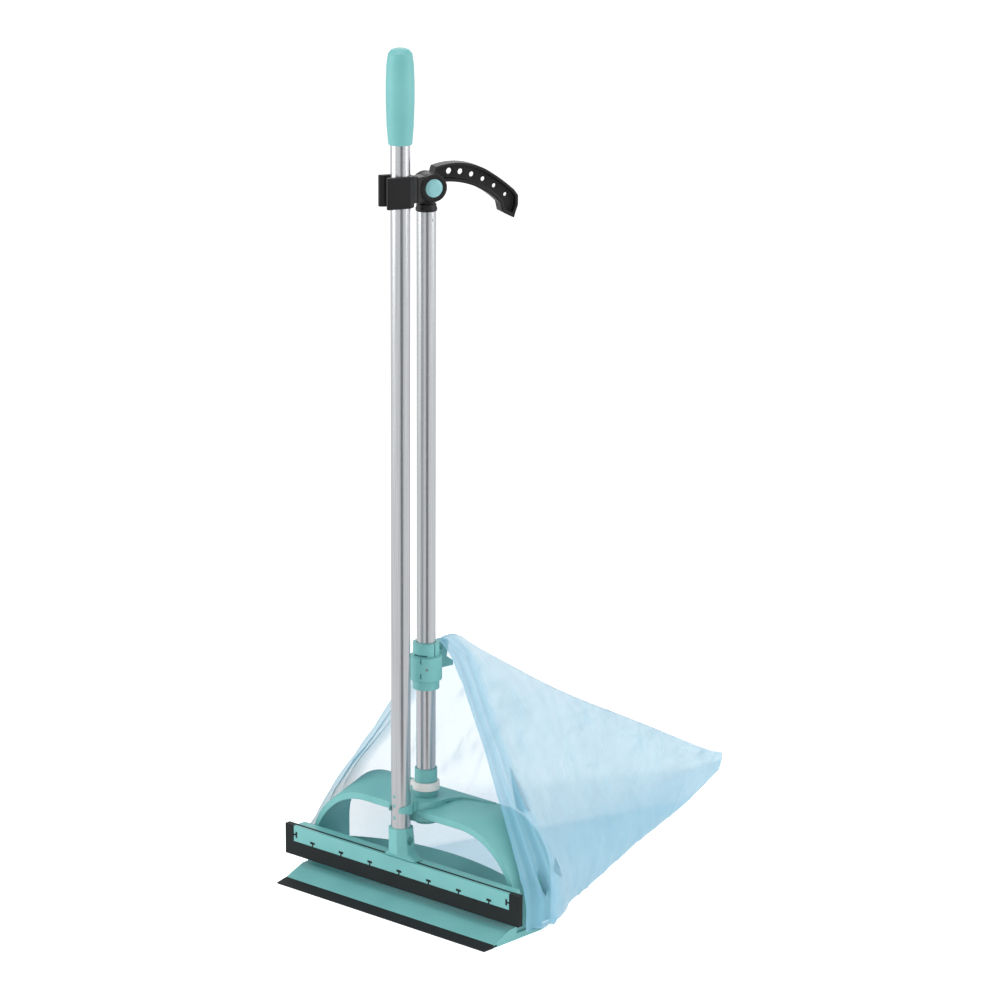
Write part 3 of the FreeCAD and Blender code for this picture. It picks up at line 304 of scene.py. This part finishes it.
rounded_copy("upper_clip", "scoop", 0.8, 5, nylon)
refinish(zinc, "lower_clip_screw", "upper_clip_screws")


# ------------------------------------------------------------------ head, hook handle and its lock
# A black nylon head plugged and riveted into the long tube carries a hub. The ribbed hook handle
# swings on its pin, and a pale disc locks it until the domed button pushes that disc off its seat.
rounded_copy("head", "scoop", 0.8, 3, nylon)
rounded_copy("hook_handle", "handle", 0.8, 3, nylon)
refinish(zinc, "head_rivet", "pivot_pin")

coil = bpy.data.objects.new("lock_spring_coil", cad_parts["button_spring"].data.copy())
scene.collection.objects.link(coil)
coil.data.materials.clear()
coil.data.materials.append(zinc)
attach(coil, "scoop")
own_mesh(coil)
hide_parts("button_spring")
refinish(acetal, "lock_gear")
# The same plastic as the arch from another batch, a shade paler and a little glossier.
button_teal = moulded("moulded_pale_teal_polypropylene", "82B8BC", "7AB1B5", 0.3, 0.4, 1.49, 0.15, 2.0)
refinish(button_teal, "release_button")


# ------------------------------------------------------------------ collar and clamp lever
# A blue-green collar slides on the long tube to stretch the bag, and is clamped by a curved lever
# on its back. The bag's top hangs on the hook behind it.
refinish(teal, "bag_collar", "clamp_lever", "bag_hook")
refinish(zinc, "clamp_screw", "lever_pin")


# ------------------------------------------------------------------ sweeper: grip, neck, bar and blade
# The squeegee sweeper has a smooth swelling grip on top and a flared neck at its foot, standing on
# the bar. A black rubber blade with T-shaped nubs is gripped between the bar and a screwed plate.
refinish(teal, "grip", "clamp_plate", "squeegee_bar")
rounded_copy("neck", "sweeper", 0.9, 5, teal)
refinish(rubber, "rubber_blade")
refinish(zinc, "plate_screws")


# ------------------------------------------------------------------ rubbish bag
# A pale blue bag of blown polythene film some 0.03 mm thick, hooked over the collar at its top and
# drawn round the arch, its mouth folded over in a few loose pleats. From there it tapers back over
# the floor to a flattened tail, with long pulls between the points that hold it.
BAG_ROWS, BAG_LINES = 190, 40
BAG_STATIONS = (0, 0.08, 0.2, 0.44, 0.7, 0.93, 1)
BAG_RAILS = (
    ((0, 20, 336), (0, 56, 334), (0, 108, 301), (0, 253, 216), (0, 415, 134), (0, 549, 66), (0, 590, 50)),
    ((24, 21, 312), (34, 54, 310), (33, 112, 268), (20, 252, 192), (10, 410, 122), (2, 547, 61),
     (0, 590, 48)),
    ((72, 12, 232), (72, 56, 228), (62, 118, 205), (38, 249, 156), (18, 403, 105), (3, 544, 55),
     (0, 590, 46)),
    ((143, -10, 121), (139, 44, 137), (106, 122, 103), (64, 244, 82), (27, 397, 67), (5, 538, 45),
     (0, 590, 42)),
    ((180, -21, 50), (181, 48, 60), (143, 112, 50), (92, 232, 42), (43, 386, 33), (9, 528, 30), (0, 588, 37)),
    ((180, -19, 9), (177, 54, 8), (144, 112, 4), (108, 212, 2), (61, 340, 2), (14, 490, 3), (0, 583, 27)),
    ((166, 44, 5), (150, 66, 4), (110, 120, 2), (75, 222, 2), (36, 350, 2), (7, 492, 4), (0, 582, 27)),
    ((0, 43, 4), (0, 68, 3), (0, 122, 2), (0, 232, 2), (0, 360, 2), (0, 494, 4), (0, 582, 27)),
)
PLEAT_DEPTH, PLEAT_BAND, PLEATS = 5.0, 0.085, 3
PULL_DEPTH, CRUMPLE_DEPTH = 1.6, 0.3
FOLD_GAIN = 2.2
SOFTENED = 0.55   # how far a section leaves straight folds for a smooth curve


def spline(points, spots, share):
    """A point on a smooth curve through points that stand at rising spots."""
    k = max(j for j in range(len(spots) - 1) if spots[j] <= share or j == 0)
    t = (share - spots[k]) / (spots[k + 1] - spots[k])
    a, b = points[k], points[k + 1]
    before = points[k - 1] if k else a * 2 - b
    after = points[k + 2] if k + 2 < len(points) else b * 2 - a
    return 0.5 * (2 * a + (b - before) * t + (2 * before - 5 * a + 4 * b - after) * t ** 2
                  + (3 * a - before - 3 * b + after) * t ** 3)


def bag_point(along, round_half, side):
    """A point of the smooth bag: along from mouth to tail, round_half from ridge to floor's middle."""
    section = [spline([Vector(p) for p in rail], BAG_STATIONS, along) for rail in BAG_RAILS]
    k = min(int(round_half), len(section) - 2)
    straight = section[k].lerp(section[k + 1], round_half - k)
    smooth = spline(section, list(range(len(section))), round_half)
    point = straight.lerp(smooth, SOFTENED)
    point.x *= side
    return point


def ridged(value, sharpness):
    """Noise folded into sharp ridges, from 0 to 1."""
    return (1 - min(abs(value) * FOLD_GAIN, 1)) ** sharpness


rounds = [(k / BAG_LINES * (len(BAG_RAILS) - 1), side)
          for side, order in ((-1, range(BAG_LINES, 0, -1)), (1, range(BAG_LINES)))
          for k in order]
smooth_bag, pulls, folds = [], [], []
for row in range(BAG_ROWS + 1):
    along = row / BAG_ROWS
    for round_half, side in rounds:
        point = bag_point(along, round_half, side)
        on_side = max(0, min(1, 6 - round_half))
        pleat = max(0, 1 - along / PLEAT_BAND)
        wave = abs((along / PLEAT_BAND * PLEATS) % 1 * 2 - 1) * min(pleat * 3, 1)
        long_pull = noise.noise(Vector((
            round_half * side * 2.6, along * 3.2 + round_half * 0.25, side * 7.0)))
        cross_pull = noise.noise(Vector((
            point.x / 70, (point.y + point.z) / 120, (point.y - point.z) / 48)))
        crumple = noise.noise(Vector((point.x / 13, point.y / 17, point.z / 11)))
        height = (PLEAT_DEPTH * wave + PULL_DEPTH * (ridged(long_pull, 2) - 0.3)
                  + PULL_DEPTH * ridged(cross_pull, 6) + CRUMPLE_DEPTH * crumple)
        smooth_bag.append(point)
        taut = min(1, 0.15 + round_half * 0.45)
        pulls.append(height * taut * on_side * min(1, (1 - along) * 6 + 0.15))
        folds.append(max(min(pleat * 6, 1) * (0.6 + 0.4 * wave), 0.5 * ridged(cross_pull, 12),
                         0.42 * max(0, min(1, (round_half - 3) * 2)) * min(1, along * 6)))
count = len(rounds)
bag_faces = [
    (row * count + k, row * count + (k + 1) % count,
     (row + 1) * count + (k + 1) % count, (row + 1) * count + k)
    for row in range(BAG_ROWS) for k in range(count)
]

# Thin clear blue film: see-through, with a soft gloss that breaks up over the crumples, and less
# clear wherever it lies folded. The crumples run 9 mm across.
film, tree, shader = finish_named("blown_blue_polythene_film")
place = add(tree, "ShaderNodeTexCoord").outputs["Object"]
drift = add(tree, "ShaderNodeTexNoise", {"Vector": place, "Scale": 1 / (45 * MM), "Detail": 3.0})
tone = add(tree, "ShaderNodeValToRGB", {"Fac": drift.outputs["Fac"]})
tone.color_ramp.elements[0].position, tone.color_ramp.elements[1].position = 0.35, 0.65
tone.color_ramp.elements[0].color, tone.color_ramp.elements[1].color = colour("74ABC2"), colour("86B8CC")
layers = add(tree, "ShaderNodeAttribute", attribute_name="folded").outputs["Fac"]
doubled = add(tree, "ShaderNodeMixRGB", {
    "Fac": layers, "Color1": tone.outputs["Color"], "Color2": colour("7CB6CE")})
clear = add(tree, "ShaderNodeMapRange", {"Value": layers, "To Min": 0.5, "To Max": 0.76})
crinkle = add(tree, "ShaderNodeTexNoise", {"Vector": place, "Scale": 1 / (9 * MM), "Detail": 3.0})
bump = add(tree, "ShaderNodeBump", {
    "Height": crinkle.outputs["Fac"], "Strength": 0.2, "Distance": 1.0 * MM})
tree.links.new(doubled.outputs["Color"], shader.inputs["Base Color"])
tree.links.new(clear.outputs["Result"], shader.inputs["Alpha"])
tree.links.new(bump.outputs["Normal"], shader.inputs["Normal"])
shader.inputs["Roughness"].default_value = 0.3
shader.inputs["IOR"].default_value = 1.51

bag = mesh_piece("bag_film_sheet", [p * MM for p in smooth_bag], bag_faces, film)
fold_mark = bag.data.attributes.new("folded", "FLOAT", "POINT")
fold_mark.data.foreach_set("value", folds)
firm = []
for name in ("arch_hood", "scoop_pan", "bag_collar", "tube_socket", "scoop_tube"):
    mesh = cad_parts[name].data
    firm.append(BVHTree.FromPolygons([v.co for v in mesh.vertices], [f.vertices for f in mesh.polygons]))
CLEARANCE, FLOOR_REST, REACH = 4.0 * MM, 0.8 * MM, 40 * MM
normals = [Vector(n.vector) for n in bag.data.vertex_normals]
for vertex, normal, pull in zip(bag.data.vertices, normals, pulls):
    spot = vertex.co + normal * pull * MM
    for solid in firm:
        nearest, outward, _, gap = solid.find_nearest(spot, REACH)
        if nearest is not None and ((spot - nearest).dot(outward) < 0 or gap < CLEARANCE):
            spot = nearest + outward * CLEARANCE
    spot.z = max(spot.z, FLOOR_REST)
    vertex.co = spot
bag.data.update()
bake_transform(bag)
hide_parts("bag")
